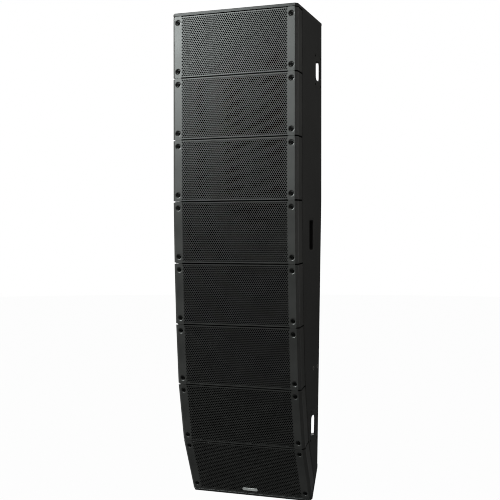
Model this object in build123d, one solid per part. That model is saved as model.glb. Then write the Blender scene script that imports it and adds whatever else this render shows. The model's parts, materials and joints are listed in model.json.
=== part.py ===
from build123d import *
from math import atan2, cos, hypot, radians, sin, tan
import os

# Line array loudspeaker. Millimetres, +Z up, front faces -Y, X = 0 is the symmetry plane.
# The origin is the bottom centre of the bounding box.

# ------------------------------------------------------------------ driving dimensions
PITCH = 171.0  # height of one module, measured down its face
TILT = (0, 0, 0, 2, 3.5, 5.5, 12.5, 25)  # lean of each module's face, degrees, top to bottom
MODULES = len(TILT)
WIDTH = 362.0
DEPTH = 245.0  # front plane of the top module to the back
KNEE_DROP = 500.0  # the back is vertical for this far below the top module's upper edge
FOOT = (203.0, 1270.0)  # lower edge of the back: distance behind the front plane, and drop

SHEET = 1.2  # grille steel
CHAMFER = 7.0  # bend along both long edges of the grilles
FLANGE = 13.0  # depth of the grille's side flanges
JOINT_GAP = 4.0  # open joint between two modules
CAP_GAP = 3.0  # open joint between a cap and the module next to it
CAP_LIP = 8.0
FOOT_LIP = 6.0

HOUSING_DEPTH = 45.0
HOUSING_WALL = 3.5
HOUSING_SIDE = 0.8  # the housing's side stands this far inside the bead at its rear edge
BEAD = 2.6
CAVITY_X = 152.0  # half width of the space behind the perforated field
BAFFLE_FRONT = 14.0
BAFFLE_BACK = 20.0

SCREW_X = 164.0
SCREW_V = 18.0  # grille screws, from each end of the module
DIMPLE_R = 6.3
DIMPLE_DEPTH = 3.0

PANEL = 12.0  # plywood of the sides and back
SHADOW = 2.0  # open line between the housings and the side panels
RAIL_DEPTH = 18.0
RAIL_HALF = 26.0

WOOFER_X = 88.0
WOOFER_R = 61.0
CONE_R = 46.4
COIL_R = 13.5
TWEETER_R = 12.5
TWEETER_STEP = 47.0

GRIPS = ((137.0, 43.0), (1143.0, 54.0))  # drop of each grip, and how far its slot is from the back
SLOT = (40.0, 56.0)
GRIP_WALL = 3.0
GRIP_X = 128.0  # inner side of the pocket
GRIP_HEIGHT = 68.0
GRIP_FLANGE = 12.0  # the outer wall runs past the pocket by this much
GRIP_GAP = 0.2

HALF = WIDTH / 2
INNER_X = HALF - PANEL
UP = (Align.CENTER, Align.CENTER, Align.MIN)
MIDDLE = PITCH / 2


# ------------------------------------------------------------------ side profile, points are (y, z)
def shifted(point, direction, length):
    return (point[0] + direction[0] * length, point[1] + direction[1] * length)


def meet(p, a, q, b):
    """The point where the line through p along a crosses the line through q along b."""
    cross = a[0] * b[1] - a[1] * b[0]
    reach = ((q[0] - p[0]) * b[1] - (q[1] - p[1]) * b[0]) / cross
    return shifted(p, a, reach)


def heading(p, q):
    length = hypot(q[0] - p[0], q[1] - p[1])
    return ((q[0] - p[0]) / length, (q[1] - p[1]) / length)


def front_line():
    """Upper edge of every module's face, then the lower edge of the last one."""
    points = [(-DEPTH / 2, 0.0)]
    for tilt in TILT:
        y, z = points[-1]
        points.append((y + PITCH * sin(radians(tilt)), z - PITCH * cos(radians(tilt))))
    return points


def down(m):
    return (sin(radians(TILT[m])), -cos(radians(TILT[m])))


def inward(m):
    return (cos(radians(TILT[m])), sin(radians(TILT[m])))


LAST = MODULES - 1
HINGES = front_line()
LIFT = -shifted(HINGES[-1], down(LAST), CAP_GAP - JOINT_GAP / 2 + FOOT_LIP)[1]
HINGES = [(y, z + LIFT) for y, z in HINGES]
TOP = HINGES[0][1] + CAP_GAP - JOINT_GAP / 2  # underside of the top cap
BACK_Y = DEPTH / 2
KNEE = (BACK_Y, LIFT - KNEE_DROP)
HEEL = (FOOT[0] - DEPTH / 2, LIFT - FOOT[1])


def yz(m, v, d):
    """The point v down module m's face and d deep behind it."""
    return shifted(shifted(HINGES[m], down(m), v), inward(m), d)


LIP_TOP = yz(LAST, PITCH + CAP_GAP - JOINT_GAP / 2, 0)
LIP_FOOT = yz(LAST, PITCH + CAP_GAP - JOINT_GAP / 2 + FOOT_LIP, 0)
FOOT_LINE = heading(LIP_FOOT, HEEL)  # the bottom rises towards the back
BACK_LINE = heading(KNEE, HEEL)
BACK_NORMAL = (-BACK_LINE[1], BACK_LINE[0])
FOOT_LEAN = atan2(FOOT_LINE[1], FOOT_LINE[0]) - radians(TILT[LAST])
KNEE_IN = meet((BACK_Y - PANEL, 0), (0, -1), shifted(KNEE, BACK_NORMAL, -PANEL), BACK_LINE)
HEEL_TOP = meet(LIP_TOP, FOOT_LINE, KNEE, BACK_LINE)
HEEL_IN = meet(LIP_TOP, FOOT_LINE, KNEE_IN, BACK_LINE)


def half_turn(m):
    """Half of the angle between module m and the one above it."""
    return radians(TILT[m] - TILT[m - 1]) / 2 if 0 < m < MODULES else 0.0


TOP_LEAN = [tan(half_turn(m)) for m in range(MODULES)]
FOOT_LEANS = [tan(half_turn(m + 1)) for m in range(LAST)] + [tan(FOOT_LEAN)]


def ends(m, d, trim):
    """Where module m starts and stops, down its face, at depth d."""
    return d * TOP_LEAN[m] + trim, PITCH - d * FOOT_LEANS[m] - trim


def mitre_point(m, d):
    """The point at depth d on the plane that parts module m from the one above."""
    return yz(m, ends(m, d, 0)[0], d)


# ------------------------------------------------------------------ shape helpers
def prism(points, x0, x1):
    """A side profile swept across the cabinet from x0 to x1."""
    return Pos(x0, 0, 0) * extrude(Plane.YZ * Polygon(*points), x1 - x0, dir=(1, 0, 0))


def module_block(m, x, d0, d1, trim):
    """The space of module m between two depths, x either side of the middle."""
    near = ends(m, d0, trim)
    far = ends(m, d1, trim)
    corners = [yz(m, near[0], d0), yz(m, near[1], d0), yz(m, far[1], d1), yz(m, far[0], d1)]
    return prism(corners, -x, x)


def at(m, x, v, d=0.0):
    """A place on module m: local +X across, +Y down the face, +Z into the cabinet."""
    y, z = yz(m, v, d)
    n = inward(m)
    return Plane(origin=(x, y, z), x_dir=(1, 0, 0), z_dir=(0, n[0], n[1])).location


def rod(r, z0, z1):
    return Pos(0, 0, z0) * Cylinder(r, z1 - z0, align=UP)


def turned(*points):
    """A solid of revolution about Z from (r, z) points."""
    return revolve(Plane.XZ * Polygon(*points), Axis.Z)


def outline(m, points):
    """A cross-section of (x, depth) points swept down module m's face."""
    face = Plane.XZ * Polygon(*points)
    return at(m, 0, -20) * extrude(face, PITCH + 60, dir=(0, 1, 0))


def screw(head_r, head_h, shank_r, length):
    """A domed cap screw with a hexagon socket, its head's underside at Z = 0, along +Z."""
    rim = head_h * 0.35
    turned_screw = turned((0, -head_h), (head_r - rim, -head_h), (head_r, rim - head_h), (head_r, 0),
                          (shank_r, 0), (shank_r, length), (0, length))
    socket = extrude(RegularPolygon(head_r * 0.5, 6), head_h * 0.6)
    return turned_screw - Pos(0, 0, -head_h) * socket


def save(name, shapes):
    solids = [s for shape in shapes for s in shape.solids()]
    whole = solids[0] if len(solids) == 1 else Compound(children=solids)
    export_step(whole, f"parts/{name}.step")


os.makedirs("parts", exist_ok=True)
ALL = range(MODULES)

# ------------------------------------------------------------------ grilles
SCREW_PLACES = [(x, v) for x in (-SCREW_X, SCREW_X) for v in (SCREW_V, PITCH - SCREW_V)]


def grille(m):
    """Bent steel sheet with a pressed cup for each screw. The perforated field is left plain."""
    bend = SHEET * tan(radians(22.5))
    x = HALF - CHAMFER
    right = [(x, 0), (HALF, CHAMFER), (HALF, FLANGE), (HALF - SHEET, FLANGE)]
    right += [(HALF - SHEET, CHAMFER + bend), (x - bend, SHEET)]
    left = [(-px, pz) for px, pz in reversed(right)]
    sheet = outline(m, right + left)
    sheet &= module_block(m, HALF + 1, -1, FLANGE + 1, JOINT_GAP / 2)
    cup = turned((2.8, 3.0), (5.2, 3.0), (6.3, 0), (7.6, 0), (6.4, 4.2), (2.8, 4.2))
    for x, v in SCREW_PLACES:
        sheet -= at(m, x, v) * rod(DIMPLE_R, -1, DIMPLE_DEPTH)
        sheet += at(m, x, v) * cup
    return sheet


for m in ALL:
    save(f"grille_{m + 1}", [grille(m)])


# ------------------------------------------------------------------ module housings
def housing_outline():
    """(x, depth) points: clears the bent grille, then the side, then a bead at the rear edge."""
    step = HALF - SHEET - 0.2
    side = HALF - HOUSING_SIDE
    bead = HOUSING_DEPTH - BEAD
    right = [(step - CHAMFER + 0.6, SHEET + 0.2), (step, CHAMFER + 0.8), (step, FLANGE + 0.3)]
    right += [(side, FLANGE + 0.3), (side, bead), (HALF, bead + 0.6), (HALF, HOUSING_DEPTH - 0.4)]
    right += [(side, HOUSING_DEPTH)]
    return right + [(-x, d) for x, d in reversed(right)]


def housing(m):
    """Moulded frame: a rim, a baffle with two woofer holes and a slot, and four screw bosses."""
    trim = JOINT_GAP / 2
    rear_x = HALF - HOUSING_SIDE - HOUSING_WALL
    rear_end = HOUSING_DEPTH + 1
    body = outline(m, housing_outline())
    body &= module_block(m, HALF + 1, -1, HOUSING_DEPTH + 1, trim)
    body -= module_block(m, CAVITY_X, -1, BAFFLE_FRONT, trim + HOUSING_WALL)
    body -= module_block(m, rear_x, BAFFLE_BACK, rear_end, trim + HOUSING_WALL)
    for x in (-WOOFER_X, WOOFER_X):
        body -= at(m, x, MIDDLE) * rod(52.6, 0, 30)
        for turn in (45, 135, 225, 315):
            body -= at(m, x, MIDDLE) * Rot(0, 0, turn) * Pos(57, 0, 0) * rod(2.05, 0, 30)
    body -= at(m, 0, MIDDLE, 17) * Box(38, 134, 20)
    for x, v in SCREW_PLACES:
        boss = at(m, x, v) * rod(7.5, BAFFLE_FRONT, HOUSING_DEPTH)
        body += boss & module_block(m, HALF, -1, HOUSING_DEPTH, trim)
        body -= at(m, x, v) * rod(8.0, 0, 4.4)
        body -= at(m, x, v) * rod(2.9, 0, HOUSING_DEPTH + 1)
    return body


for m in ALL:
    save(f"module_housing_{m + 1}", [housing(m)])

# ------------------------------------------------------------------ woofers, along +Z from the face
GAP_R = COIL_R + 0.45  # outside of the winding


def basket():
    """Flanged frame with four windows, closed by the seat for the motor."""
    flange = [(50, 11), (WOOFER_R, 11), (WOOFER_R, 14), (52, 14)]
    frame = turned(*flange, (37, 45.6), (37, 48), (16, 48), (16, 45.6), (34.6, 45.6), (34.6, 44.5))
    for turn in (0, 90, 180, 270):
        frame -= Rot(0, 0, turn) * Pos(47, 0, 29) * Box(36, 38, 24)
    for turn in (45, 135, 225, 315):
        frame -= Rot(0, 0, turn) * Pos(57, 0, 0) * rod(2.05, 0, 30)
    return frame


def surround():
    """Half-roll rubber edge, glued to the front of the flange."""
    roll = Plane.XZ * Pos(49.9, 10.6) * (Circle(3.0) - Circle(2.4) - Pos(0, 5) * Rectangle(10, 10))
    land = turned((52.4, 10.4), (53.6, 10.4), (53.6, 11.0), (52.4, 11.0))
    return revolve(roll, Axis.Z) + land


def dust_cap():
    """Shallow dome over the voice coil."""
    ball = 29.9
    rim_z = 31.0
    centre = Pos(0, 0, 55.6)
    shell = centre * (Sphere(ball) - Sphere(ball - 0.6))
    return shell & rod(17, rim_z - 8, rim_z)


def cone():
    return turned((CONE_R, 10.6), (CONE_R, 11.8), (COIL_R, 35.5), (COIL_R, 34.3))


def voice_coil():
    former = turned((COIL_R - 0.6, 33.5), (COIL_R, 33.5), (COIL_R, 53.5), (COIL_R - 0.6, 53.5))
    return former + turned((COIL_R, 47), (GAP_R, 47), (GAP_R, 53.5), (COIL_R, 53.5))


def spider():
    """Corrugated centring ring between the basket and the former."""
    points = [(COIL_R + 0.3, 40.4), (18, 40.4), (20, 41.6), (23, 39.4), (26, 41.6), (29, 39.4)]
    points += [(31, 40.4), (36, 40.4)]
    return turned(*points, *[(r, z + 0.7) for r, z in reversed(points)])


def yoke():
    return turned((0, 47.6), (12.3, 47.6), (12.3, 61), (31, 61), (31, 65), (0, 65))


TOP_PLATE = turned((GAP_R + 0.35, 48), (30, 48), (30, 52), (GAP_R + 0.35, 52))
MAGNET = turned((18, 52), (32, 52), (32, 61), (18, 61))
WOOFER_PLACES = {m: [at(m, x, MIDDLE) for x in (-WOOFER_X, WOOFER_X)] for m in ALL}


def on_woofers(shape):
    return [place * shape for m in ALL for place in WOOFER_PLACES[m]]


save("woofer_baskets", on_woofers(basket()))
save("woofer_surrounds", on_woofers(surround()))
save("woofer_spiders", on_woofers(spider()))
save("woofer_magnets", on_woofers(MAGNET))
save("woofer_motor_steel", on_woofers(TOP_PLATE) + on_woofers(yoke()))

MOVING = [cone(), dust_cap(), voice_coil()]
for m in ALL:
    save(f"woofer_cones_{m + 1}", [place * piece for place in WOOFER_PLACES[m] for piece in MOVING])

flange_screw = Pos(57, 0, 11) * screw(3.2, 2.0, 2.0, 12)
four_screws = [Rot(0, 0, turn) * flange_screw for turn in (45, 135, 225, 315)]
save("woofer_screws", [piece for s in four_screws for piece in on_woofers(s)])

# ------------------------------------------------------------------ tweeters
TWEETER_STEPS = (-TWEETER_STEP, 0, TWEETER_STEP)


def waveguide(m):
    """Plate with three round flares, on the front of the baffle."""
    plate = at(m, 0, MIDDLE, 9.5) * fillet(Box(46, 142, 9).edges().filter_by(Axis.Z), 6)
    for step in TWEETER_STEPS:
        plate -= at(m, 0, MIDDLE + step, 9.5) * Cone(20.5, 12.9, 9.001)
    return plate


def tweeter_dome():
    """Dome and coil, one moving piece."""
    ball = Pos(0, 0, 31.5) * (Sphere(21.5) - Sphere(21.1))
    coil = turned((12.1, 14), (TWEETER_R, 14), (TWEETER_R, 19), (12.1, 19))
    return (ball & rod(TWEETER_R, 8, 14)) + coil


def tweeter_motor():
    """Sealed magnet housing with the coil's gap in its front."""
    groove = turned((11.0, 13), (13.0, 13), (13.0, 21), (11.0, 21))
    return rod(16, 14, 28) - groove


save("waveguides", [waveguide(m) for m in ALL])
TWEETERS = {m: [at(m, 0, MIDDLE + step) for step in TWEETER_STEPS] for m in ALL}
save("tweeter_motors", [place * tweeter_motor() for m in ALL for place in TWEETERS[m]])
for m in ALL:
    save(f"tweeter_domes_{m + 1}", [place * tweeter_dome() for place in TWEETERS[m]])


# ------------------------------------------------------------------ cross rails and module screws
def rail(k):
    """Batten behind the joint above module k, bent with the joint, between the side panels."""
    near = HOUSING_DEPTH
    far = near + RAIL_DEPTH
    above = k - 1
    upper = [yz(above, PITCH - RAIL_HALF, far), yz(above, PITCH - RAIL_HALF, near)] if k else []
    start = TOP - HINGES[0][1] + 8
    upper = upper or [yz(0, start, far), yz(0, start, near)]
    middle = [mitre_point(k, near)] if k else []
    behind = [mitre_point(k, far)] if k else []
    lower = [yz(k, RAIL_HALF, near), yz(k, RAIL_HALF, far)]
    return prism(upper + middle + lower + behind, -INNER_X, INNER_X)


def screw_end(m, v):
    """Depth of a module screw's tip. The lowest pair is short and goes into the bottom cap."""
    return 40.0 if (m == LAST and v > MIDDLE) else 60.0


def screw_holes(m):
    return [at(m, x, v) * rod(2.55, 24, screw_end(m, v) + 0.5) for x, v in SCREW_PLACES]


rails = []
for k in ALL:
    bar = rail(k)
    for m in (k - 1, k):
        for hole in screw_holes(m) if m >= 0 else []:
            bar -= hole
    rails.append(bar)
save("cross_rails", rails)

module_screws = []
for m in ALL:
    for x, v in SCREW_PLACES:
        length = screw_end(m, v) - DIMPLE_DEPTH
        module_screws.append(at(m, x, v, DIMPLE_DEPTH) * screw(4.6, 2.4, 2.5, length))
save("module_screws", module_screws)

# ------------------------------------------------------------------ places on the sides and back
FAR = 600.0


def back_at(x, drop, depth=0.0):
    """A place on the back: local +X across, +Y down the back, +Z out of the cabinet."""
    z = LIFT - drop
    line = BACK_LINE if z < KNEE[1] else (0.0, -1.0)
    point = meet(KNEE, line, (0.0, z), (1.0, 0.0))
    normal = (-line[1], line[0])
    point = shifted(point, normal, -depth)
    plane = Plane(origin=(x, *point), x_dir=(1, 0, 0), z_dir=(0, *normal))
    return plane.location


def side_at(side, y, drop):
    """A place on a side panel: local +X along Y, +Z out of the cabinet."""
    plane = Plane(origin=(side * HALF, y, LIFT - drop), x_dir=(0, side, 0), z_dir=(side, 0, 0))
    return plane.location


def side_plate(width, height, radius, x0, x1):
    """A rounded plate standing along a side, in the back's local frame, from x0 to x1."""
    face = RectangleRounded(width, height, radius)
    plate = extrude(Plane(origin=(x0, 0, 0), x_dir=(0, 0, -1), z_dir=(1, 0, 0)) * face, x1 - x0)
    return plate


def mirrored(shape, side):
    return shape if side > 0 else mirror(shape, Plane.YZ)


SIDES = (-1, 1)
PLATE_SCREW = screw(3.2, 1.4, 1.7, 9)
HEAD_SUNK = 1.7  # depth of a panel screw's seat


# ------------------------------------------------------------------ hand grips
def corner_block(x0, height, depth, x1=HALF, z1=0.0):
    """Box from x0 to x1 across, centred down the back, from depth inside it out to z1."""
    return Pos((x0 + x1) / 2, 0, (z1 - depth) / 2) * Box(x1 - x0, height, depth + z1)


def grip_skin(depth, gap, x1):
    """Flush plate on the side that runs past the pocket above, below and in front."""
    length = depth + GRIP_FLANGE
    height = GRIP_HEIGHT + 2 * GRIP_FLANGE
    plate = side_plate(length + 2 * gap, height + 2 * gap, 9, HALF - GRIP_WALL - gap, x1)
    return Pos(0, 0, -length / 2) * plate


def grip(inset, depth):
    """Moulded corner grip: a slot in its outer wall, a pocket behind that opens at the back."""
    wall = GRIP_WALL
    body = corner_block(GRIP_X, GRIP_HEIGHT, depth) + grip_skin(depth, 0, HALF)
    body -= corner_block(GRIP_X + wall, GRIP_HEIGHT - 2 * wall, depth - wall, HALF - wall, 1)
    body -= Pos(0, 0, -inset) * side_plate(*SLOT, 12, HALF - 10, HALF + 1)
    return body - Pos(HALF, 0, 0) * Rot(0, 45, 0) * Box(3, 200, 3)


def grip_space(depth):
    """What the panels leave free for a grip."""
    tall = GRIP_HEIGHT + 2 * GRIP_GAP
    block = corner_block(GRIP_X - GRIP_GAP, tall, depth + GRIP_GAP, HALF + 1, 1)
    return block + grip_skin(depth, GRIP_GAP, HALF + 1)


def grip_seats(depth):
    """Seats of a grip's four screws, local +Z into the panel."""
    x = HALF - HEAD_SUNK
    spots = [(y, z) for y in (-40, 40) for z in (-14, -depth)]
    planes = [Plane(origin=(x, y, z), x_dir=(0, 1, 0), z_dir=(-1, 0, 0)) for y, z in spots]
    return [plane.location for plane in planes]


grips = []
grip_screws = []
grip_spaces = []
for drop, inset in GRIPS:
    depth = inset + SLOT[0] / 2 + GRIP_WALL
    body = grip(inset, depth)
    space = grip_space(depth)
    for seat in grip_seats(depth):
        body -= seat * (rod(1.8, -1, 12) + rod(3.6, -3, 0))
        space += seat * rod(1.8, 0, 9.5)
    for side in SIDES:
        place = back_at(0, drop)
        grips.append(place * mirrored(body, side))
        grip_spaces.append(place * mirrored(space, side))
        grip_screws += [place * mirrored(seat * PLATE_SCREW, side) for seat in grip_seats(depth)]
save("handle_cups", grips)

# ------------------------------------------------------------------ side pockets
POCKET_DROP = 605.0
POCKET_Y = 137.0 - DEPTH / 2
POCKET = (50.0, 94.0)


def pocket_tray(grow=0.0):
    """Shallow finger pocket with a flush rim, opening outwards along +Z."""
    rim = extrude(RectangleRounded(POCKET[0] + grow, POCKET[1] + grow, 9), -2.5 - grow / 2)
    tub = extrude(RectangleRounded(POCKET[0] - 7 + grow, POCKET[1] - 7 + grow, 7), -20)
    return rim + tub


def side_pocket():
    hollow = extrude(RectangleRounded(POCKET[0] - 12, POCKET[1] - 12, 6), -17.5)
    tray = pocket_tray() - fillet(hollow.edges().group_by(Axis.Z)[0], 5)
    return chamfer(tray.faces().sort_by(Axis.Z)[-1].inner_wires()[0].edges(), 1.5)


tray = side_pocket()
save("side_pockets", [side_at(side, POCKET_Y, POCKET_DROP) * tray for side in SIDES])

# ------------------------------------------------------------------ threaded inserts
INSERT_DROP = 980.0
INSERT_Y = (160.0 - DEPTH / 2, 200.0 - DEPTH / 2)
BRACKET_DROP = 230.0
BRACKET = (200.0, 150.0)  # spacing of the M8 inserts on the back
FLY_X = 110.0
FLY_Y = 20.0


def insert(outer, bore, length):
    """Flanged threaded insert, its face at Z = 0, its body below. The bore is open at the face."""
    body = rod(outer, -length, 0) + rod(outer + 1.5, -1.2, 0)
    return body - rod(bore, -length + 2, 1)


side_insert = insert(4.5, 2.5, PANEL)
back_insert = insert(6.0, 3.4, PANEL)
fly_insert = insert(7.5, 4.25, 14)
side_places = [side_at(side, y, INSERT_DROP) for side in SIDES for y in INSERT_Y]
BRACKET_X = (-BRACKET[0] / 2, BRACKET[0] / 2)
BRACKET_V = (-BRACKET[1] / 2, BRACKET[1] / 2)
back_places = [back_at(x, BRACKET_DROP + v) for x in BRACKET_X for v in BRACKET_V]
fly_places = [Pos(x, FLY_Y, TOP + CAP_LIP) for x in (-FLY_X, FLY_X)]
inserts = [place * side_insert for place in side_places]
inserts += [place * back_insert for place in back_places]
inserts += [place * fly_insert for place in fly_places]
save("threaded_inserts", inserts)


def insert_space(outer, length):
    return rod(outer + 0.01, -length, 0.5) + rod(outer + 1.51, -1.2, 0.5)


# ------------------------------------------------------------------ side panels
def side_profile():
    front = [(HINGES[0][0] + HOUSING_DEPTH + SHADOW, TOP)]
    front += [mitre_point(m, HOUSING_DEPTH + SHADOW) for m in range(1, MODULES)]
    depth = HOUSING_DEPTH + SHADOW
    foot_v = PITCH + CAP_GAP - JOINT_GAP / 2 - depth * FOOT_LEANS[LAST]
    return front + [yz(LAST, foot_v, depth), HEEL_TOP, KNEE, (BACK_Y, TOP)]


def side_panel(side):
    panel = prism(side_profile(), INNER_X, HALF)
    outer = panel.faces().sort_by(Axis.X)[-1]
    rear = outer.edges().filter_by(lambda e: e.center().Y > BACK_Y - 30 and e.length > 300)
    panel = mirrored(fillet(rear, 2.5), side)
    for space in grip_spaces:
        panel -= space
    panel -= side_at(side, POCKET_Y, POCKET_DROP) * pocket_tray(0.3)
    for place in side_places:
        panel -= place * insert_space(4.5, PANEL + 1)
    return panel


save("side_panel_left", [side_panel(-1)])
save("side_panel_right", [side_panel(1)])

# ------------------------------------------------------------------ caps
CAP_PLAN = [(CHAMFER - HALF, 0), (HALF - CHAMFER, 0), (HALF, CHAMFER), (HALF, FAR), (-HALF, FAR)]
CAP_PLAN += [(-HALF, CHAMFER)]
NEST_FRONT = 52.0
NEST = 6.0
CAP_SCREW_Y = (-40.0, 30.0, 100.0)
CAP_SCREW_X = (-130.0, 130.0)
cap_screw_seats = [Pos(x, y, TOP + CAP_LIP - HEAD_SUNK) for x in CAP_SCREW_X for y in CAP_SCREW_Y]
cap_screw_places = [seat * Rot(180, 0, 0) for seat in cap_screw_seats]


def top_cap():
    """Moulded cap: its lip stands over the top module, a nest fits between the side panels."""
    y0 = HINGES[0][0]
    top = TOP + CAP_LIP
    plate = prism([(y0, TOP), (BACK_Y, TOP), (BACK_Y, top), (y0, top)], -HALF, HALF)
    plate &= outline(0, CAP_PLAN)
    plate = fillet(plate.faces().sort_by(Axis.Z)[-1].edges(), 1.5)
    y1 = y0 + NEST_FRONT
    y2 = BACK_Y - PANEL
    nest = [(y1, TOP - NEST), (y2, TOP - NEST), (y2, TOP + 1), (y1, TOP + 1)]
    plate += prism(nest, -INNER_X, INNER_X)
    for place in fly_places:
        plate -= place * insert_space(7.5, 15)
    for place in cap_screw_places:
        plate -= place * (rod(1.8, -1, 30) + rod(3.6, -3, 0))
    return plate


def bottom_cap():
    """Cap under the lowest module, rising towards the back, with a nest between the side panels."""
    plate = prism([LIP_TOP, LIP_FOOT, HEEL, HEEL_TOP], -HALF, HALF) & outline(LAST, CAP_PLAN)
    start = yz(LAST, PITCH + CAP_GAP - JOINT_GAP / 2 - NEST_FRONT * FOOT_LEANS[LAST], NEST_FRONT)
    up = (-FOOT_LINE[1], FOOT_LINE[0])
    sunk = -1.0
    nest = [shifted(start, up, sunk), shifted(HEEL_IN, up, sunk)]
    nest += [shifted(shifted(HEEL_IN, FOOT_LINE, -NEST), up, NEST), shifted(start, up, NEST)]
    plate += prism(nest, -INNER_X, INNER_X)
    for hole in screw_holes(LAST):
        plate -= hole
    return plate


save("top_cap", [top_cap()])
save("bottom_cap", [bottom_cap()])

# ------------------------------------------------------------------ back panels and input plate
INPUT_DROP = 400.0
INPUT = (150.0, 92.0)
INPUT_FACE = 4.0  # the plate's face is this far inside the back
SOCKET_X = (-30.0, 30.0)
INPUT_SCREWS = [(x, y) for x in (-67, 0, 67) for y in (-39, 39)]


def input_space():
    rebate = extrude(RectangleRounded(INPUT[0] + 0.4, INPUT[1] + 0.4, 6.2), INPUT_FACE + 2 + 0.1)
    through = extrude(RectangleRounded(INPUT[0] - 26, INPUT[1] - 26, 6), PANEL + 2)
    return Pos(0, 0, -INPUT_FACE - 2.1) * rebate + Pos(0, 0, -PANEL - 1) * through


def edge_screw_places():
    """Screws that hold the back panels' long edges, just inside the side panels."""
    upper = [back_at(x, drop, HEAD_SUNK) for x in (-158, 158) for drop in (40.0, 330.0, 460.0)]
    lower = [back_at(x, drop, HEAD_SUNK) for x in (-158, 158) for drop in (560.0, 800.0, 1030.0)]
    return [place * Rot(180, 0, 0) for place in upper + lower]


def with_openings(panel):
    for space in grip_spaces:
        panel -= space
    for place in edge_screw_places():
        panel -= place * (rod(1.8, -1, 9.5) + rod(3.6, -3, 0))
    return panel


top_in = (BACK_Y - PANEL, TOP)
upper_back = with_openings(prism([(BACK_Y, TOP), KNEE, KNEE_IN, top_in], -INNER_X, INNER_X))
for place in back_places:
    upper_back -= place * insert_space(6.0, PANEL + 1)
upper_back -= back_at(0, INPUT_DROP) * input_space()
for x, y in INPUT_SCREWS:
    upper_back -= back_at(x, INPUT_DROP + y) * rod(1.8, -PANEL - 1, 0)
save("back_panel_upper", [upper_back])
lower_back = prism([KNEE, HEEL_TOP, HEEL_IN, KNEE_IN], -INNER_X, INNER_X)
save("back_panel_lower", [with_openings(lower_back)])


def connector_plate():
    plate = extrude(RectangleRounded(*INPUT, 6), 2)
    for x in SOCKET_X:
        plate -= Pos(x, 0, -1) * Cylinder(12.2, 8)
    for x, y in INPUT_SCREWS:
        plate -= Pos(x, y, 0) * Cylinder(1.8, 8)
    return plate


def socket():
    """Round four-pole chassis socket: square flange, round well with a keyed core."""
    flange = extrude(RectangleRounded(27, 32, 3), 1.8)
    body = flange + rod(12, -22, 1)
    well = turned((5.5, -18), (9.8, -18), (9.8, 3), (5.5, 3))
    body -= well
    for turn in (0, 90, 180, 270):
        body -= Rot(0, 0, turn) * Pos(10.4, 0, -8) * Box(2.4, 3.0, 22)
    return fillet(body.faces().sort_by(Axis.Z)[-1].outer_wire().edges(), 0.6)


plate_place = back_at(0, INPUT_DROP, INPUT_FACE + 2)
face_place = back_at(0, INPUT_DROP, INPUT_FACE)
save("connector_plate", [plate_place * connector_plate()])
save("input_connectors", [face_place * Pos(x, 0, 0) * socket() for x in SOCKET_X])

plate_screws = [face_place * Pos(x, y, 0) * Rot(180, 0, 0) * PLATE_SCREW for x, y in INPUT_SCREWS]
plate_screws += [place * PLATE_SCREW for place in edge_screw_places() + cap_screw_places]
save("panel_screws", plate_screws + grip_screws)

# ------------------------------------------------------------------ crossover
BOARD_DROP = 230.0
BOARD = (150.0, 110.0)
BOARD_SHEET = 1.6
BOARD_DEPTH = PANEL + 10.0
COILS = ((-48, 25, 21), (-48, -25, 21), (0, 28, 16))
CAPS = ((42, -40), (42, -20), (42, 0), (42, 20), (42, 40))
board_place = back_at(0, BOARD_DROP, BOARD_DEPTH)


def board():
    """Circuit board on four pillars that stand on the back panel."""
    plate = Pos(0, 0, -BOARD_SHEET / 2) * Box(BOARD[0], BOARD[1], BOARD_SHEET)
    for x in (-68, 68):
        for y in (-48, 48):
            plate += Pos(x, y, 0) * rod(3.5, 0, BOARD_DEPTH - PANEL)
    return plate


def coil(r):
    """Air-cored inductor standing on its flange."""
    bobbin = turned((6, 0), (r, 0), (r, 2), (8, 2), (8, 20), (r, 20), (r, 22), (6, 22))
    return bobbin + turned((7.5, 1.5), (r - 2, 1.5), (r - 2, 20.5), (7.5, 20.5))


def capacitor():
    """Film capacitor lying along the board."""
    body = fillet(Cylinder(8.5, 34).edges(), 2)
    return Rot(0, 90, 0) * (body + Cylinder(0.6, 42))


save("crossover_board", [board_place * board()])
under_board = board_place * Pos(0, 0, -BOARD_SHEET)
turned_over = Rot(180, 0, 0)
coils = [under_board * Pos(x, y, 0) * turned_over * coil(r) for x, y, r in COILS]
capacitors = [under_board * Pos(x, y, -8.6) * capacitor() for x, y in CAPS]
save("crossover_coils", coils)
save("crossover_capacitors", capacitors)

# ------------------------------------------------------------------ wiring, wadding, badge
WIRE_DEPTH = 70.0
TRUNK_R = 4.0


def trunk():
    """Cable bundle that runs down behind the modules, parallel to their faces."""
    first = yz(0, MIDDLE, WIRE_DEPTH)
    turns = [mitre_point(m, WIRE_DEPTH) for m in range(3, MODULES)]
    end = yz(LAST, MIDDLE + 20, WIRE_DEPTH)
    path = Polyline(*[(0, y, z) for y, z in [first, *turns, end]])
    return sweep(Plane(path ^ 0) * Circle(TRUNK_R), path=path, transition=Transition.RIGHT)


def branch(m, side):
    """Pair of leads from the bundle to one woofer."""
    start = Vector(0, *yz(m, MIDDLE - 28, WIRE_DEPTH))
    end = Vector(side * 44, *yz(m, MIDDLE - 28, HOUSING_DEPTH + 3))
    run = end - start
    return Plane(origin=start, z_dir=run).location * Cylinder(1.6, run.length, align=UP)


def feed():
    """Lead from the board to the bundle."""
    start = Vector(0, *yz(0, MIDDLE + 10, WIRE_DEPTH))
    end = (board_place * Pos(0, -45, -5)).position
    run = end - start
    return Plane(origin=start, z_dir=run).location * Cylinder(2.5, run.length, align=UP)


harness = trunk()
for m in ALL:
    for side in SIDES:
        harness += branch(m, side)
harness += feed()
save("wiring_harness", [harness])

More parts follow.
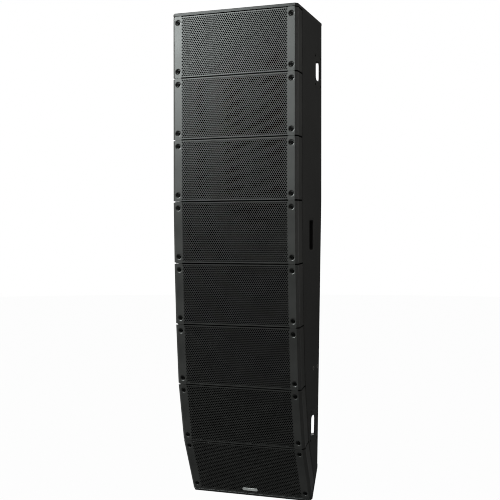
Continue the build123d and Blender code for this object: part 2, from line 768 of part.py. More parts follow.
WADDING = 16.0
wadding_top = back_at(0, 530).position
wadding_foot = back_at(0, 1180).position
line = [(wadding_top.Y, wadding_top.Z), (wadding_foot.Y, wadding_foot.Z)]
near = [shifted(p, BACK_NORMAL, -PANEL) for p in line]
far = [shifted(p, BACK_NORMAL, -PANEL - WADDING) for p in reversed(line)]
save("damping_wadding", [prism(near + far, -118, 118)])

badge = extrude(SlotOverall(46, 9), -1.4)
badge = fillet(badge.faces().sort_by(Axis.Z)[0].edges(), 0.5)
save("badge", [at(LAST, 0, PITCH - 15) * badge])
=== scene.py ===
import json
import math
from math import cos, pi, radians, sin, tan

import bpy
from mathutils import Matrix, Vector
from mathutils.geometry import delaunay_2d_cdt
from mathutils.noise import noise


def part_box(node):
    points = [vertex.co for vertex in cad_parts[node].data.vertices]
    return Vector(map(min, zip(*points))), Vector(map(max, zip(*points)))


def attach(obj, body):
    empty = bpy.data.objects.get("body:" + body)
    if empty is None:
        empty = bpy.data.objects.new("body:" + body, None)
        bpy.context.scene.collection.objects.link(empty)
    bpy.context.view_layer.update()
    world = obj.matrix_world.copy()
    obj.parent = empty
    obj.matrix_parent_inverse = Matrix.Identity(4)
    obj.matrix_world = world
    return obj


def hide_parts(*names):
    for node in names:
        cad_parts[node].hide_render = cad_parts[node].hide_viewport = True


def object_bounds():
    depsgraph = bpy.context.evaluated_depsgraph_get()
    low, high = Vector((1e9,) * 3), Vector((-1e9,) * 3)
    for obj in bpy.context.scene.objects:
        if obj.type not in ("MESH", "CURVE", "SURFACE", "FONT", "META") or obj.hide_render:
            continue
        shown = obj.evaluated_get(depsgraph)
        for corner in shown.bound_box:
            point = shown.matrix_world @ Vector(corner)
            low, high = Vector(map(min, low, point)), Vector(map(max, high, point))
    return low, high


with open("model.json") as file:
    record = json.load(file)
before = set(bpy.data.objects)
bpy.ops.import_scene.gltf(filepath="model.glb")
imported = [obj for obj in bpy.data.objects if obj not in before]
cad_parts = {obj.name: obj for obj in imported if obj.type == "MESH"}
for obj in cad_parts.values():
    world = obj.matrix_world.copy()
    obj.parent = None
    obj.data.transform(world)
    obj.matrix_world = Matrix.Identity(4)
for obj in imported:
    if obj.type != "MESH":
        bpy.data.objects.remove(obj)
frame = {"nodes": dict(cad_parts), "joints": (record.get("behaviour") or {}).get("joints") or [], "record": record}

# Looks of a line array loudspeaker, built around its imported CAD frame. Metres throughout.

CAD_BOX = [list(corner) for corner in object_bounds()]
MM = 0.001
MODULES = range(1, 9)
CABINET = "cabinet"

# ------------------------------------------------------------------ node helpers


class Tree:
    """A material's nodes, with short ways to add the usual ones."""

    def __init__(self, name):
        self.material = bpy.data.materials.new(name)
        self.material.use_nodes = True
        self.nodes = self.material.node_tree.nodes
        self.links = self.material.node_tree.links
        self.shader = self.nodes["Principled BSDF"]
        self.place = self.nodes.new("ShaderNodeTexCoord").outputs["Object"]

    def link(self, source, target):
        self.links.new(source, target)

    def feed(self, socket, source):
        self.links.new(source, self.shader.inputs[socket])

    def set(self, socket, value):
        self.shader.inputs[socket].default_value = value

    def noise(self, scale, detail=4.0, rough=0.55, stretch=None):
        node = self.nodes.new("ShaderNodeTexNoise")
        node.inputs["Scale"].default_value = scale
        node.inputs["Detail"].default_value = detail
        node.inputs["Roughness"].default_value = rough
        self.link(self.stretched(stretch) if stretch else self.place, node.inputs["Vector"])
        return node.outputs["Fac"]

    def cells(self, scale, feature="F1"):
        node = self.nodes.new("ShaderNodeTexVoronoi")
        node.feature = feature
        node.inputs["Scale"].default_value = scale
        self.link(self.place, node.inputs["Vector"])
        return node.outputs["Distance"]

    def stretched(self, factors):
        node = self.nodes.new("ShaderNodeMapping")
        node.inputs["Scale"].default_value = factors
        self.link(self.place, node.inputs["Vector"])
        return node.outputs["Vector"]

    def ramp(self, source, low, high, start=0.0, end=1.0):
        node = self.nodes.new("ShaderNodeMapRange")
        node.inputs["From Min"].default_value = start
        node.inputs["From Max"].default_value = end
        node.inputs["To Min"].default_value = low
        node.inputs["To Max"].default_value = high
        self.link(source, node.inputs["Value"])
        return node.outputs["Result"]

    def colours(self, source, dark, light, start=0.3, end=0.7):
        node = self.nodes.new("ShaderNodeValToRGB")
        first, last = node.color_ramp.elements
        first.position, first.color = start, (*dark, 1)
        last.position, last.color = end, (*light, 1)
        self.link(source, node.inputs["Fac"])
        return node.outputs["Color"]

    def bump(self, height, strength, distance, edge=0.0):
        """Surface relief, over edges that shade as if rounded to the given radius."""
        node = self.nodes.new("ShaderNodeBump")
        node.inputs["Strength"].default_value = strength
        node.inputs["Distance"].default_value = distance
        self.link(height, node.inputs["Height"])
        if edge:
            soft = self.nodes.new("ShaderNodeBevel")
            soft.samples = 4
            soft.inputs["Radius"].default_value = edge
            self.link(soft.outputs["Normal"], node.inputs["Normal"])
        return node.outputs["Normal"]

    def maths(self, operation, a, b):
        node = self.nodes.new("ShaderNodeMath")
        node.operation = operation
        for socket, value in zip(node.inputs, (a, b)):
            if isinstance(value, float):
                socket.default_value = value
            else:
                self.link(value, socket)
        return node.outputs["Value"]


def tint(grey):
    """A little warm, as black paint and plastic are."""
    return (grey * 1.02, grey, grey * 0.97)


def grained(name, grey, rough, grain, height, spread=0.35, specular=0.5, edge=0.0006):
    """Moulded or painted black: fine grain, broad colour drift and uneven gloss."""
    t = Tree(name)
    broad = t.noise(9, 3)
    fine = t.noise(grain, 6, 0.65)
    t.feed("Base Color", t.colours(broad, tint(grey * (1 - spread)), tint(grey * (1 + spread))))
    gloss = t.maths("ADD", t.ramp(fine, -0.05, 0.05), t.ramp(broad, rough - 0.05, rough + 0.05))
    t.feed("Roughness", gloss)
    t.feed("Normal", t.bump(fine, 0.5, height, edge))
    t.set("Specular IOR Level", specular)
    return t.material


def brushed(name, colour, rough, metallic=1.0, streak=(60, 60, 900)):
    """Plated or brushed metal with fine streaks and dull patches."""
    t = Tree(name)
    streaks = t.noise(1.0, 5, 0.7, stretch=streak)
    patches = t.noise(45, 3)
    t.feed("Base Color", t.colours(patches, [c * 0.8 for c in colour], colour))
    t.feed("Roughness", t.ramp(streaks, rough - 0.08, rough + 0.12))
    t.feed("Normal", t.bump(streaks, 0.25, 0.00005))
    t.set("Metallic", metallic)
    return t.material


def splattered(name, grey, rough):
    """Cabinet paint: sprayed polyurethane with a raised pebble texture."""
    t = Tree(name)
    pebbles = t.ramp(t.cells(620), 1.0, 0.0, 0.0, 0.6)
    broad = t.noise(7, 4)
    t.feed("Base Color", t.colours(broad, tint(grey * 0.75), tint(grey * 1.3)))
    t.feed("Roughness", t.ramp(t.noise(300, 4), rough - 0.08, rough + 0.08))
    t.feed("Normal", t.bump(t.maths("MULTIPLY", pebbles, t.noise(420, 3)), 0.55, 0.0003, 0.0012))
    return t.material


def felted(name, dark, light, scale, height, sheen=0.3):
    """Fibre, cloth or paper pulp: tangled strands and a soft sheen."""
    t = Tree(name)
    strands = t.noise(scale, 8, 0.75)
    knots = t.cells(scale * 0.4)
    t.feed("Base Color", t.colours(strands, dark, light))
    t.feed("Normal", t.bump(t.maths("ADD", strands, knots), 0.7, height))
    t.set("Roughness", 0.9)
    t.set("Sheen Weight", sheen)
    return t.material


def woven(name, dark, light, pitch, sheen=0.2):
    """Open weave cloth, from two crossed sets of bands."""
    t = Tree(name)
    heights = []
    for axis in ("X", "Z"):
        wave = t.nodes.new("ShaderNodeTexWave")
        wave.bands_direction = axis
        wave.inputs["Scale"].default_value = 0.31 / pitch
        wave.inputs["Distortion"].default_value = 0.6
        t.link(t.place, wave.inputs["Vector"])
        heights.append(wave.outputs["Fac"])
    weave = t.maths("MULTIPLY", *heights)
    t.feed("Base Color", t.colours(weave, dark, light, 0.1, 0.8))
    t.feed("Normal", t.bump(weave, 0.6, 0.0002))
    t.set("Roughness", 0.85)
    t.set("Sheen Weight", sheen)
    # A sheenless weave gets no gloss at all. The grille cloth uses this as painted shade in the holes.
    t.set("Specular IOR Level", 0.25 if sheen else 0.0)
    return t.material


def powder_coated(name, grey):
    """Satin powder coat on perforated steel: fine orange peel and dust-dulled patches."""
    t = Tree(name)
    peel = t.noise(900, 3, 0.5)
    dull = t.noise(14, 4)
    t.feed("Base Color", t.colours(dull, tint(grey * 0.8), tint(grey * 1.25)))
    t.feed("Roughness", t.ramp(dull, 0.34, 0.46))
    t.feed("Normal", t.bump(peel, 0.35, 0.00008))
    t.set("Specular IOR Level", 0.8)
    return t.material


def laminate(name):
    """Solder-masked circuit board with faint tracks."""
    t = Tree(name)
    tracks = t.cells(160, "DISTANCE_TO_EDGE")
    t.feed("Base Color", t.colours(tracks, (0.05, 0.22, 0.09), (0.012, 0.075, 0.03), 0.02, 0.08))
    t.feed("Normal", t.bump(tracks, 0.3, 0.00005))
    t.feed("Roughness", t.ramp(t.noise(80, 3), 0.25, 0.4))
    return t.material


def wound(name):
    """Enamelled copper: close turns round the coil."""
    t = Tree(name)
    turns = t.nodes.new("ShaderNodeTexWave")
    turns.bands_direction = "Y"
    turns.inputs["Scale"].default_value = 320
    turns.inputs["Distortion"].default_value = 1.5
    t.link(t.place, turns.inputs["Vector"])
    t.feed("Base Color", t.colours(turns.outputs["Fac"], (0.20, 0.05, 0.02), (0.62, 0.25, 0.10)))
    t.feed("Normal", t.bump(turns.outputs["Fac"], 0.8, 0.0003))
    t.set("Metallic", 0.9)
    t.set("Roughness", 0.32)
    return t.material


FINISHES = {
    "grille_steel": powder_coated("grille_steel", 0.030),
    "housing_plastic": grained("housing_plastic", 0.032, 0.42, 1500, 0.00012, specular=0.6),
    "cap_plastic": grained("cap_plastic", 0.024, 0.42, 1300, 0.00012),
    "cabinet_ply": splattered("cabinet_ply", 0.015, 0.52),
    "batten_wood": grained("batten_wood", 0.02, 0.7, 500, 0.0002),
    "grip_plastic": grained("grip_plastic", 0.016, 0.50, 1100, 0.00015),
    # Black oxide screws, made darker and duller than the metal is: partly painted shade for the cups they sit in.
    "black_screw": grained("black_screw", 0.003, 0.55, 2500, 0.00004, specular=0.08, edge=0.0002),
    "zinc_steel": brushed("zinc_steel", (0.60, 0.60, 0.56), 0.34),
    "basket_metal": grained("basket_metal", 0.022, 0.45, 1600, 0.00008),
    "motor_steel": brushed("motor_steel", (0.52, 0.52, 0.50), 0.38),
    "magnet_ferrite": grained("magnet_ferrite", 0.055, 0.72, 900, 0.0002),
    "cone_paper": felted("cone_paper", (0.010, 0.010, 0.010), (0.030, 0.030, 0.029), 700, 0.0002, 0.1),
    "edge_rubber": grained("edge_rubber", 0.012, 0.58, 1800, 0.00005),
    "spider_cloth": woven("spider_cloth", (0.22, 0.14, 0.05), (0.52, 0.36, 0.16), 0.0009),
    "dome_cloth": woven("dome_cloth", (0.012, 0.012, 0.012), (0.05, 0.05, 0.05), 0.0005),
    "guide_plastic": grained("guide_plastic", 0.014, 0.40, 1500, 0.00008),
    "plate_steel": grained("plate_steel", 0.022, 0.44, 1200, 0.0001),
    "socket_plastic": grained("socket_plastic", 0.016, 0.28, 1700, 0.00005),
    "board_laminate": laminate("board_laminate"),
    "copper_wire": wound("copper_wire"),
    "film_capacitor": grained("film_capacitor", 0.05, 0.3, 800, 0.00005),
    "cable_sheath": grained("cable_sheath", 0.018, 0.48, 1500, 0.0001),
    "polyester_wadding": felted("polyester_wadding", (0.55, 0.55, 0.52), (0.82, 0.82, 0.79), 260, 0.0015),
    "badge_metal": brushed("badge_metal", (0.92, 0.93, 0.92), 0.36, 0.25, streak=(900, 60, 60)),
}

# The record has no slot for the acoustic cloth, so it goes under the dome cloth's with this finish. The cloth is
# real, but its near-zero colour with no sheen or gloss is partly painted shade: it makes the holes read as deep
# shadow, darker than black cloth is.
CLOTH_WITH_PAINTED_HOLE_SHADE = woven("grille_cloth_painted_shade", (0.0005, 0.0005, 0.0005), (0.003, 0.003, 0.003), 0.0007, 0.0)


def finish_cad_nodes():
    """Gives each CAD piece its slot's finish."""
    slots = {part["node"]: part["material_slot"] for part in frame["record"]["subparts"]}
    for node, obj in frame["nodes"].items():
        obj.data.materials.clear()
        obj.data.materials.append(FINISHES[slots[node]])


def mesh_object(name, vertices, faces, slot, angle=35.0):
    """A new piece, smooth but for the edges that turn by more than the angle."""
    mesh = bpy.data.meshes.new(name)
    mesh.from_pydata(vertices, [], faces)
    mesh.validate()
    mesh.shade_smooth()
    mesh.set_sharp_from_angle(angle=radians(angle))
    mesh.materials.append(FINISHES[slot])
    obj = bpy.data.objects.new(name, mesh)
    bpy.context.scene.collection.objects.link(obj)
    flat = obj.modifiers.new("flat_faces_stay_flat", "WEIGHTED_NORMAL")
    flat.keep_sharp = True
    return obj


# ------------------------------------------------------------------ module frames

TOUCH = 0.05 * MM  # points this close to a plane are on it


def inward_of(k):
    """Direction into the cabinet, square to module k's face: against its woofers' stroke."""
    joint = next(j for j in frame["joints"] if j["name"] == f"woofer_stroke_{k}")
    return -Vector(joint["axis"]).normalized()


class ModuleFrame:
    """Module k's own axes: X across, Y down the face from the grille's upper edge, Z inward."""

    def __init__(self, k):
        inward = inward_of(k)
        down = inward.cross(Vector((1, 0, 0)))
        points = [v.co for v in frame["nodes"][f"grille_{k}"].data.vertices]
        depth = min(p.dot(inward) for p in points)
        face = [p.dot(down) for p in points if p.dot(inward) < depth + TOUCH]
        self.height = max(face) - min(face)
        self.flange_depth = max(p.dot(inward) for p in points) - depth
        rear_plane = depth + self.flange_depth - TOUCH
        rear = [p.dot(down) for p in points if p.dot(inward) > rear_plane]
        self.flange_rise = (min(rear) - min(face), max(face) - max(rear))
        origin = down * min(face) + inward * depth
        axes = Matrix((Vector((1, 0, 0)), down, inward)).transposed().to_4x4()
        self.matrix = Matrix.Translation(origin) @ axes


FRAMES = {k: ModuleFrame(k) for k in MODULES}

# ------------------------------------------------------------------ perforated grilles

SHEET = 1.2 * MM
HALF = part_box("grille_1")[1].x
CHAMFER = 7 * MM
BEND_R = 2.0 * MM
HOLE_R = 2.34 * MM
HOLE_PITCH = 5.7 * MM
ROW_PITCH = HOLE_PITCH * sin(radians(60))
COLUMNS = 54
ROWS = 33
HOLE_SIDES = 12  # two for each of the six points round a hole's cell
SCREW_X = 164 * MM
SCREW_INSET = 16 * MM  # from the grille's upper and lower edges
# The screw cup's section as (radius, depth) in mm: down its front, round the screw hole, up its back.
CUP = [(8.9, 0), (8.6, 0.05), (7.6, 0.42), (6.6, 0.95), (6.1, 1.5), (5.8, 2.4), (5.5, 3.0)]
CUP += [(2.8, 3.0), (2.8, 4.2), (6.4, 4.2), (7.2, 2.4), (9.0, 1.2)]
CUP_RADIUS = CUP[0][0] * MM
CUP_SIDES = 28
FIELD_X = COLUMNS * HOLE_PITCH / 2
TAB = 1.7 * MM  # the plain strips reach this much further than the field, to meet the next module
TAB_STEP = 0.8 * MM  # from a strip's long edges to where it reaches further
MITRE_X = FIELD_X + 15 * MM  # mitred from here outward: the folded edges and the cups' outer backs
SAME = 1e-7  # places this close are one place
GRID = 1e6  # points are told apart by the micrometre


def bend_path(flange_depth):
    """Outside of the folded edge from the flat face: (unfolded distance, x, depth, normal angle)."""
    lead = BEND_R * tan(radians(22.5))
    x, depth, angle, run = HALF - CHAMFER - lead, 0.0, 0.0, HALF - CHAMFER - lead
    path = [(run, x, depth, angle)]

    def straight(length):
        nonlocal x, depth, run
        x += length * cos(angle)
        depth += length * sin(angle)
        run += length
        path.append((run, x, depth, angle))

    def arc(turn, steps=4):
        nonlocal x, depth, angle, run
        for _ in range(steps):
            step = radians(turn) / steps
            chord = 2 * BEND_R * sin(step / 2)
            x += chord * cos(angle + step / 2)
            depth += chord * sin(angle + step / 2)
            angle += step
            run += chord
            path.append((run, x, depth, angle))

    arc(45)
    straight(CHAMFER / cos(radians(45)) - 2 * lead)
    arc(45)
    straight(flange_depth - depth)
    return path


class Flat:
    """The grille unfolded: 2-D points and faces, shared by its front and its back."""

    def __init__(self):
        self.points = []
        self.index = {}
        self.faces = []
        self.rings = []

    def point(self, x, y):
        key = (round(x * GRID), round(y * GRID))
        if key not in self.index:
            self.index[key] = len(self.points)
            self.points.append((x, y))
        return self.index[key]

    def hole_cell(self, cx, y0):
        """A rectangle of sheet round one hole, with a corner of the next row's cells half way."""
        cy = y0 + ROW_PITCH / 2
        half = HOLE_PITCH / 2
        y1 = y0 + ROW_PITCH
        edge = [(cx + half, y1), (cx, y1), (cx - half, y1), (cx - half, y0), (cx, y0), (cx + half, y0)]
        outer = [self.point(*p) for p in edge]
        angles = [2 * pi * (i + 0.5) / HOLE_SIDES for i in range(HOLE_SIDES)]
        rim = [self.point(cx + HOLE_R * cos(a), cy + HOLE_R * sin(a)) for a in angles]
        for i in range(len(edge)):
            self.faces.append((outer[i - 1], outer[i], rim[2 * i], rim[2 * i - 1]))
            self.faces.append((outer[i], rim[2 * i + 1], rim[2 * i]))

    def blank(self, corners):
        self.faces.append(tuple(self.point(*p) for p in corners))

    def field(self, top):
        """Staggered rows of holes. Odd rows have one hole fewer and a blank half cell at each end."""
        for row in range(ROWS):
            y0 = top + row * ROW_PITCH
            y1 = y0 + ROW_PITCH
            odd = row % 2
            for i in range(COLUMNS - odd):
                self.hole_cell(-FIELD_X + HOLE_PITCH * (i + 0.5 + odd / 2), y0)
            if odd:
                for side in (-1, 1):
                    outer, inner = side * FIELD_X, side * (FIELD_X - HOLE_PITCH / 2)
                    self.blank([(inner, y0), (outer, y0), (outer, y1), (inner, y1)][::side])

    def border(self, height, top):
        """Blank margins above and below the field, cut to meet its points."""
        for y_in, y_out in ((top, 0.0), (top + ROWS * ROW_PITCH, height)):
            xs = sorted(x for x, y in self.points if abs(y - y_in) < SAME)
            line = [(x, y_in) for x in xs]
            corners = line + [(FIELD_X, y_out), (-FIELD_X, y_out)]
            self.blank(corners if y_out < y_in else corners[::-1])

    def strip(self, side, height, run):
        """Plain side strip with two round openings for the screw cups."""
        inner = sorted(y for x, y in self.points if abs(x - side * FIELD_X) < SAME)
        near, far = side * (FIELD_X + TAB_STEP), side * (run - TAB_STEP)
        loop = [(side * FIELD_X, y) for y in inner]
        loop += [(near, height), (near, height + TAB), (far, height + TAB), (side * run, height)]
        loop += [(side * run, 0.0), (far, -TAB), (near, -TAB), (near, 0.0)]
        raw = list(loop)
        edges = [(i, (i + 1) % len(loop)) for i in range(len(loop))]
        for y in (SCREW_INSET, height - SCREW_INSET):
            start = len(raw)
            turns = [2 * pi * i / CUP_SIDES for i in range(CUP_SIDES)]
            ring = [(side * SCREW_X + CUP_RADIUS * cos(a), y + CUP_RADIUS * sin(a)) for a in turns]
            raw += ring
            edges += [(start + i, start + (i + 1) % CUP_SIDES) for i in range(CUP_SIDES)]
            self.rings.append(((side * SCREW_X, y), ring))
        _, _, triangles, sources, _, _ = delaunay_2d_cdt([Vector(p) for p in raw], edges, [], 0, SAME)
        self.add_triangles([raw[found[0]] for found in sources], triangles, side)

    def add_triangles(self, points, triangles, side):
        """Keeps the triangles outside the screw openings."""
        openings = [centre for centre, _ in self.rings if centre[0] * side > 0]
        for triangle in triangles:
            corners = [points[i] for i in triangle]
            middle = [sum(axis) / 3 for axis in zip(*corners)]
            if min(math.dist(middle, centre) for centre in openings) > 0.995 * CUP_RADIUS:
                self.blank(corners)

    def flap(self, side, height, runs):
        """The folded edge, as bands along the module's whole height."""
        for near, far in zip(runs, runs[1:]):
            corners = [(near, 0.0), (far, 0.0), (far, height), (near, height)]
            self.blank([(side * x, y) for x, y in corners][::side])


def oriented(points, face):
    """The face turned to run anticlockwise in the flat plane."""
    area = 0.0
    for i, j in zip(face, face[1:] + face[:1]):
        area += points[i][0] * points[j][1] - points[j][0] * points[i][1]
    return face if area > 0 else face[::-1]


def flat_grille(height, path):
    """Field, margins, strips and folded edges of a whole grille, all faces turned one way."""
    flat = Flat()
    top = (height - ROWS * ROW_PITCH) / 2
    flat.field(top)
    flat.border(height, top)
    for side in (-1, 1):
        flat.strip(side, height, path[0][0])
        flat.flap(side, height, [p[0] for p in path])
    flat.faces = [oriented(flat.points, f) for f in flat.faces]
    return flat


def boundary_edges(faces):
    """Directed edges that only one face uses."""
    seen = set()
    for face in faces:
        seen.update(zip(face, face[1:] + face[:1]))
    return [(a, b) for a, b in seen if (b, a) not in seen]


def folded(flat, path, lift):
    """3-D places of the flat points, pushed inward by lift along the sheet's own normal."""
    runs = [p[0] for p in path]
    placed = []
    for x, y in flat.points:
        side = 1 if x > 0 else -1
        if abs(x) <= runs[0] + SAME:
            placed.append((x, y, lift))
            continue
        i = min(range(len(runs)), key=lambda n: abs(runs[n] - abs(x)))
        _, px, depth, angle = path[i]
        placed.append((side * (px - lift * sin(angle)), y, depth + lift * cos(angle)))
    return placed


def add_cup(vertices, faces, front_ring, back_ring, centre):
    """Pressed cup: rings from the front opening, down, round the screw hole and back up."""

    def circle(r, depth):
        turns = [2 * pi * i / CUP_SIDES for i in range(CUP_SIDES)]
        return [(centre[0] + r * MM * cos(a), centre[1] + r * MM * sin(a), depth * MM) for a in turns]

    rings = [front_ring]
    for r, depth in CUP[1:-1]:
        rings.append(list(range(len(vertices), len(vertices) + CUP_SIDES)))
        vertices += circle(r, depth)
    rings.append(back_ring)
    for i, place in zip(back_ring, circle(*CUP[-1])):
        vertices[i] = place
    for near, far in zip(rings, rings[1:]):
        for i in range(CUP_SIDES):
            j = (i + 1) % CUP_SIDES
            faces.append((near[j], near[i], far[i], far[j]))


def grille_mesh(height, path):
    """Vertices and faces of a closed perforated sheet, front face at depth 0."""
    flat = flat_grille(height, path)
    count = len(flat.points)
    vertices = folded(flat, path, 0.0) + folded(flat, path, SHEET)
    faces = [f[::-1] for f in flat.faces] + [tuple(i + count for i in f) for f in flat.faces]
    rings = [(c, [flat.point(*p) for p in ring]) for c, ring in flat.rings]
    in_ring = {i for _, ring in rings for i in ring}
    for a, b in boundary_edges(flat.faces):
        if a not in in_ring:
            faces.append((a, b, b + count, a + count))
    for centre, ring in rings:
        add_cup(vertices, faces, ring, [i + count for i in ring], centre)
    return vertices, faces


def mitred(vertices, height, leans):
    """Slopes both ends of the folded edges with depth, where the module meets its neighbours."""
    made = []
    for x, y, z in vertices:
        if z > 1.5 * SHEET and abs(x) > MITRE_X:
            y += (leans[0] * (1 - y / height) - leans[1] * y / height) * z
        made.append((x, y, z))
    return made


def build_grilles():
    """One perforated sheet, mitred and placed for each module."""
    top = FRAMES[1]
    vertices, faces = grille_mesh(top.height, bend_path(top.flange_depth))
    for k in MODULES:
        place = FRAMES[k]
        leans = [rise / place.flange_depth for rise in place.flange_rise]
        shape = mitred(vertices, place.height, leans)
        obj = mesh_object(f"perforated_grille_{k}", shape, faces, "grille_steel")
        obj.matrix_world = place.matrix
        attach(obj, CABINET)
        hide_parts(f"grille_{k}")


# ------------------------------------------------------------------ soft pieces

CLOTH_X = 150.5 * MM
CLOTH_INSET = 4 * MM
CLOTH_DEPTH = 2.6 * MM
CLOTH = 0.5 * MM
CLOTH_SAG = 0.4 * MM
CLOTH_RIPPLE = 0.5 * MM
CLOTH_GRID = (60, 30)
WADDING_GRID = (70, 150)
WADDING_TUFTS = (4, 9)
WADDING_TALL = 2.7  # its height over its width
MID_HEIGHT = 0.5  # between the wadding's upper and lower ends


def sheet_faces(columns, rows):
    """Quads of a closed slab: a front grid, a back grid after it, and the rim between them."""
    wide = columns + 1
    back = wide * (rows + 1)
    faces = []
    for j in range(rows):
        for i in range(columns):
            a = j * wide + i
            quad = (a, a + 1, a + wide + 1, a + wide)
            faces.append(quad)
            faces.append(tuple(v + back for v in reversed(quad)))
    rim = list(range(wide))
    rim += [wide * (j + 1) + columns for j in range(rows)]
    rim += [rows * wide + i for i in range(columns - 1, -1, -1)]
    rim += [wide * j for j in range(rows - 1, 0, -1)]
    faces += [(b, a, a + back, b + back) for a, b in zip(rim, rim[1:] + rim[:1])]
    return faces


def build_cloths():
    """Thin black acoustic cloth behind each grille, slightly slack between its edges. Its finish is darker and
    duller than real cloth, as painted shade for the grille holes.
    """
    columns, rows = CLOTH_GRID
    for k in MODULES:
        place = FRAMES[k]
        tall = place.height - 2 * CLOTH_INSET
        front, back = [], []
        for j in range(rows + 1):
            for i in range(columns + 1):
                u, v = i / columns, j / rows
                slack = sin(pi * u) * sin(pi * v)
                wave = noise(Vector((u * 9, v * 5, k * 3.7)))
                x = CLOTH_X * (2 * u - 1)
                depth = CLOTH_DEPTH + slack * (CLOTH_SAG + CLOTH_RIPPLE * wave)
                front.append((x, CLOTH_INSET + v * tall, depth))
                back.append((x, CLOTH_INSET + v * tall, depth + CLOTH))
        obj = mesh_object(f"grille_cloth_painted_shade_{k}", front + back, sheet_faces(columns, rows), "dome_cloth")
        obj.data.materials[0] = CLOTH_WITH_PAINTED_HOLE_SHADE
        obj.matrix_world = place.matrix
        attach(obj, CABINET)


def wadding_loft(u, v):
    """Share of the full thickness: rounded at the edges, tufted in rows, uneven in between."""
    edge = 16 * min(u, 1 - u, WADDING_TALL * v, WADDING_TALL * (1 - v))
    rounded = 0.55 + 0.45 * min(1.0, edge) ** 0.5
    across, along = WADDING_TUFTS
    tuft = 0.86 + 0.14 * abs(sin(pi * along * v)) * abs(sin(pi * across * u))
    fibre = 0.05 * noise(Vector((u * 60, v * 160, 1.3)))
    return min(1.0, rounded * (tuft + fibre))


def build_wadding():
    """Felted slab on the lower back panel, from its front face back to the panel."""
    points = [v.co for v in frame["nodes"]["damping_wadding"].data.vertices]
    corners = {(round(p.y, 6), round(p.z, 6)) for p in points}
    top = sorted(c for c in corners if c[1] > MID_HEIGHT)
    foot = sorted(c for c in corners if c[1] <= MID_HEIGHT)
    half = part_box("damping_wadding")[1].x
    columns, rows = WADDING_GRID
    front, back = [], []
    for j in range(rows + 1):
        for i in range(columns + 1):
            u, v = i / columns, j / rows
            near = Vector(top[0]).lerp(Vector(foot[0]), v)
            far = Vector(top[-1]).lerp(Vector(foot[-1]), v)
            point = far.lerp(near, wadding_loft(u, v))
            ragged = 1 - 0.012 * (1 + noise(Vector((v * 22, 4.1, u))))
            x = half * (2 * u - 1) * ragged
            front.append((x, point.x, point.y))
            back.append((x, far.x, far.y))
    obj = mesh_object("wadding_slab", front + back, sheet_faces(columns, rows), "polyester_wadding", 80)
    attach(obj, CABINET)
    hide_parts("damping_wadding")


finish_cad_nodes()
build_grilles()
build_cloths()
build_wadding()

# ------------------------------------------------------------------ stage, light and camera

CENTRE_Z = (CAD_BOX[0][2] + CAD_BOX[1][2]) / 2
FLOOR_DROP = 0.25
FLOOR_RADIUS = 14
FLOOR_SIDES = 64
FLOOR_WHITE = 0.98  # share of white in what the camera sees of the floor
BRIGHT_SIDE = (-0.6, -0.45, 0.66)
ROOM_LIGHT = (0.03, 0.22)  # away from the bright side, and toward it
COOL = (0.93, 1.0, 0.98)
PALE_COOL = (0.95, 1.0, 0.98)
EYE = (0.8575, -2.3992, 0.7307)
TILT_DOWN = 0.56  # degrees
TURN = 19.58  # degrees away from square on
LENS = 64.5  # mm
SENSOR = 36  # mm


def floor_material():
    """Pale to the camera, and dim to the other rays so that it lights little from below."""
    t = Tree("pale_floor")
    t.feed("Base Color", t.colours(t.noise(3, 3), (0.10, 0.10, 0.10), (0.13, 0.13, 0.13)))
    t.set("Roughness", 0.95)
    t.set("Specular IOR Level", 0.1)
    glow = t.nodes.new("ShaderNodeEmission")
    glow.inputs["Color"].default_value = (1, 1, 1, 1)
    mix = t.nodes.new("ShaderNodeMixShader")
    path = t.nodes.new("ShaderNodeLightPath").outputs["Is Camera Ray"]
    t.link(t.maths("MULTIPLY", path, FLOOR_WHITE), mix.inputs["Fac"])
    t.link(t.shader.outputs["BSDF"], mix.inputs[1])
    t.link(glow.outputs["Emission"], mix.inputs[2])
    t.link(mix.outputs["Shader"], t.nodes["Material Output"].inputs["Surface"])
    return t.material


def build_floor():
    turns = [2 * pi * i / FLOOR_SIDES for i in range(FLOOR_SIDES)]
    ring = [(FLOOR_RADIUS * cos(a), FLOOR_RADIUS * sin(a), 0) for a in turns]
    mesh = bpy.data.meshes.new("floor")
    mesh.from_pydata(ring, [], [tuple(range(FLOOR_SIDES))])
    mesh.materials.append(floor_material())
    floor = bpy.data.objects.new("floor", mesh)
    floor.location = (0, 0, -FLOOR_DROP)
    bpy.context.scene.collection.objects.link(floor)


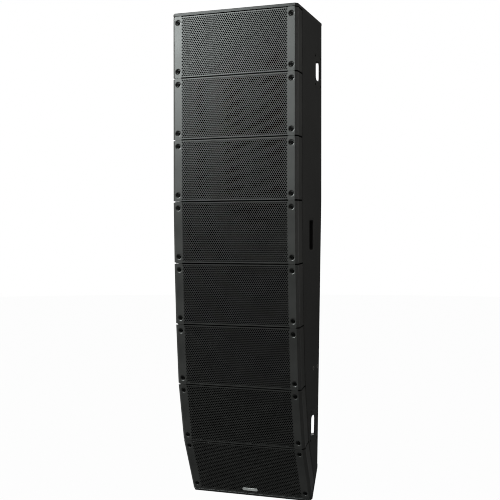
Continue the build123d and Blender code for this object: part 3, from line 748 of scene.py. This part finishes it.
def build_world():
    """White to the camera. To everything else, a dim room that is lightest up and to the left."""
    world = bpy.data.worlds.new("studio")
    bpy.context.scene.world = world
    world.use_nodes = True
    nodes, links = world.node_tree.nodes, world.node_tree.links
    toward = nodes.new("ShaderNodeVectorMath")
    toward.operation = "DOT_PRODUCT"
    toward.inputs[1].default_value = Vector(BRIGHT_SIDE).normalized()
    links.new(nodes.new("ShaderNodeTexCoord").outputs["Generated"], toward.inputs[0])
    level = nodes.new("ShaderNodeMapRange")
    level.inputs["From Min"].default_value = -1
    level.inputs["To Min"].default_value, level.inputs["To Max"].default_value = ROOM_LIGHT
    links.new(toward.outputs["Value"], level.inputs["Value"])
    room = nodes["Background"]
    room.inputs["Color"].default_value = (1.0, 1.0, 0.92, 1)
    links.new(level.outputs["Result"], room.inputs["Strength"])
    white = nodes.new("ShaderNodeBackground")
    white.inputs["Color"].default_value = (1, 1, 1, 1)
    mix = nodes.new("ShaderNodeMixShader")
    links.new(nodes.new("ShaderNodeLightPath").outputs["Is Camera Ray"], mix.inputs["Fac"])
    links.new(room.outputs["Background"], mix.inputs[1])
    links.new(white.outputs["Background"], mix.inputs[2])
    links.new(mix.outputs["Shader"], nodes["World Output"].inputs["Surface"])


def soft_box(name, place, target, size, power, colour=(1, 1, 1)):
    """A rectangular light turned toward its target."""
    data = bpy.data.lights.new(name, "AREA")
    data.shape = "RECTANGLE"
    data.size, data.size_y = size
    data.energy = power
    data.color = colour
    obj = bpy.data.objects.new(name, data)
    obj.location = place
    obj.rotation_euler = (Vector(target) - Vector(place)).to_track_quat("-Z", "Y").to_euler()
    bpy.context.scene.collection.objects.link(obj)


def build_camera():
    """At the right of the front, about level with the middle of the column."""
    data = bpy.data.cameras.new("camera")
    data.sensor_width = SENSOR
    data.lens = LENS
    camera = bpy.data.objects.new("camera", data)
    camera.location = EYE
    camera.rotation_euler = (radians(90 - TILT_DOWN), 0, radians(TURN))
    bpy.context.scene.collection.objects.link(camera)
    bpy.context.scene.camera = camera


build_floor()
build_world()
soft_box("key", (-1.55, -2.4, 2.25), (0, 0, CENTRE_Z + 0.4), (1.1, 1.1), 75, COOL)
soft_box("edges", (-2.5, -0.4, 2.4), (0, -0.1, CENTRE_Z), (0.5, 0.5), 70, PALE_COOL)
soft_box("side", (2.6, 0.5, 1.3), (0, 0, CENTRE_Z), (1.5, 2.0), 14)
soft_box("behind", (-1.4, 3.0, 2.2), (0, 0.1, CENTRE_Z), (1.5, 1.5), 60)
build_camera()
bpy.context.scene.view_settings.view_transform = "Standard"
bpy.context.scene.cycles.filter_width = 1.0
